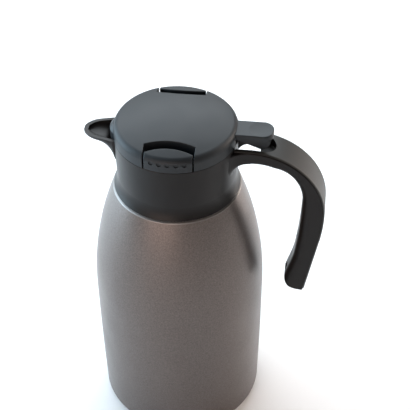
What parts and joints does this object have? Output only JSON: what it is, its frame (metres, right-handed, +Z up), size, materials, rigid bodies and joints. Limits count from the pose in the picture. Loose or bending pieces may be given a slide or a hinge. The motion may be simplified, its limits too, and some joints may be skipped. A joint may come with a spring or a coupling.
{
  "type": "thermal carafe",
  "caption": "Vacuum carafe with a spout, a hook-shaped handle and a lift-out lid with side release buttons and a thumb lever.",
  "frame": {"origin": "on the vessel's axis, on the surface that the base pad stands on", "axes": "+Z up along the vessel's axis, +X towards the handle and the thumb lever, -X towards the spout, the release buttons lie to -Y and +Y"},
  "size_m": [0.1856, 0.138, 0.295],
  "materials": {
    "body_paint": "satin metallic brown-grey lacquer",
    "steel": "drawn stainless steel",
    "dark_plastic": "dark grey moulded plastic, fine satin grain",
    "lid_plastic": "slate grey moulded plastic, satin",
    "strip_plastic": "warm grey moulded plastic, satin",
    "inner_plastic": "plain moulded plastic",
    "pad_rubber": "matt non-slip rubber",
    "seal_rubber": "soft silicone",
    "screw_steel": "zinc-plated steel",
    "spring_steel": "bright spring wire",
    "getter_metal": "dark sintered pellet"
  },
  "bodies": {
    "vessel": {"outer_shell": "body_paint", "inner_bottle": "steel", "base_plate": "steel", "vacuum_seal": "steel", "base_pad": "pad_rubber", "getter": "getter_metal", "collar": "dark_plastic", "handle_shell": "dark_plastic", "handle_cover": "strip_plastic", "handle_screws": "screw_steel", "retaining_ring": "dark_plastic", "lip_gasket": "seal_rubber"},
    "lid": {"lid_cover": "lid_plastic", "lid_base": "inner_plastic", "lid_screws": "screw_steel", "lever_pin": "screw_steel", "stopper_body": "inner_plastic", "stopper_gasket": "seal_rubber", "valve_spring": "spring_steel", "button_spring_front": "spring_steel", "button_spring_rear": "spring_steel"},
    "lever": {"thumb_lever": "lid_plastic"},
    "valve": {"valve_stem": "inner_plastic", "valve_seal": "seal_rubber", "stem_cap": "inner_plastic"},
    "button_front": {"button_front": "lid_plastic"},
    "button_rear": {"button_rear": "lid_plastic"}
  },
  "joints": [
    {"name": "lid_lift", "type": "slide", "parent": "vessel", "child": "lid", "axis": [0, 0, 1], "range_m": [0, 0.06]},
    {"name": "lever_press", "type": "hinge", "parent": "lid", "child": "lever", "pos_m": [0.024, 0, 0.284], "axis": [0, 1, 0], "range_deg": [0, 8], "stiffness_Nm_per_rad": 0.6, "springref_deg": -2.86},
    {"name": "valve_lift", "type": "slide", "parent": "lid", "child": "valve", "axis": [0, 0, 1], "range_m": [0, 0.0034], "deforming": ["valve_spring"]},
    {"name": "front_button_press", "type": "slide", "parent": "lid", "child": "button_front", "axis": [0, 1, 0], "range_m": [0, 0.0035], "stiffness_N_per_m": 500, "springref_m": -0.002, "deforming": ["button_spring_front"]},
    {"name": "rear_button_press", "type": "slide", "parent": "lid", "child": "button_rear", "axis": [0, -1, 0], "range_m": [0, 0.0035], "stiffness_N_per_m": 500, "springref_m": -0.002, "deforming": ["button_spring_rear"]}
  ],
  "couplings": [
    {"joint": "valve_lift", "follows": "lever_press", "m_per_rad": 0.024}
  ]
}
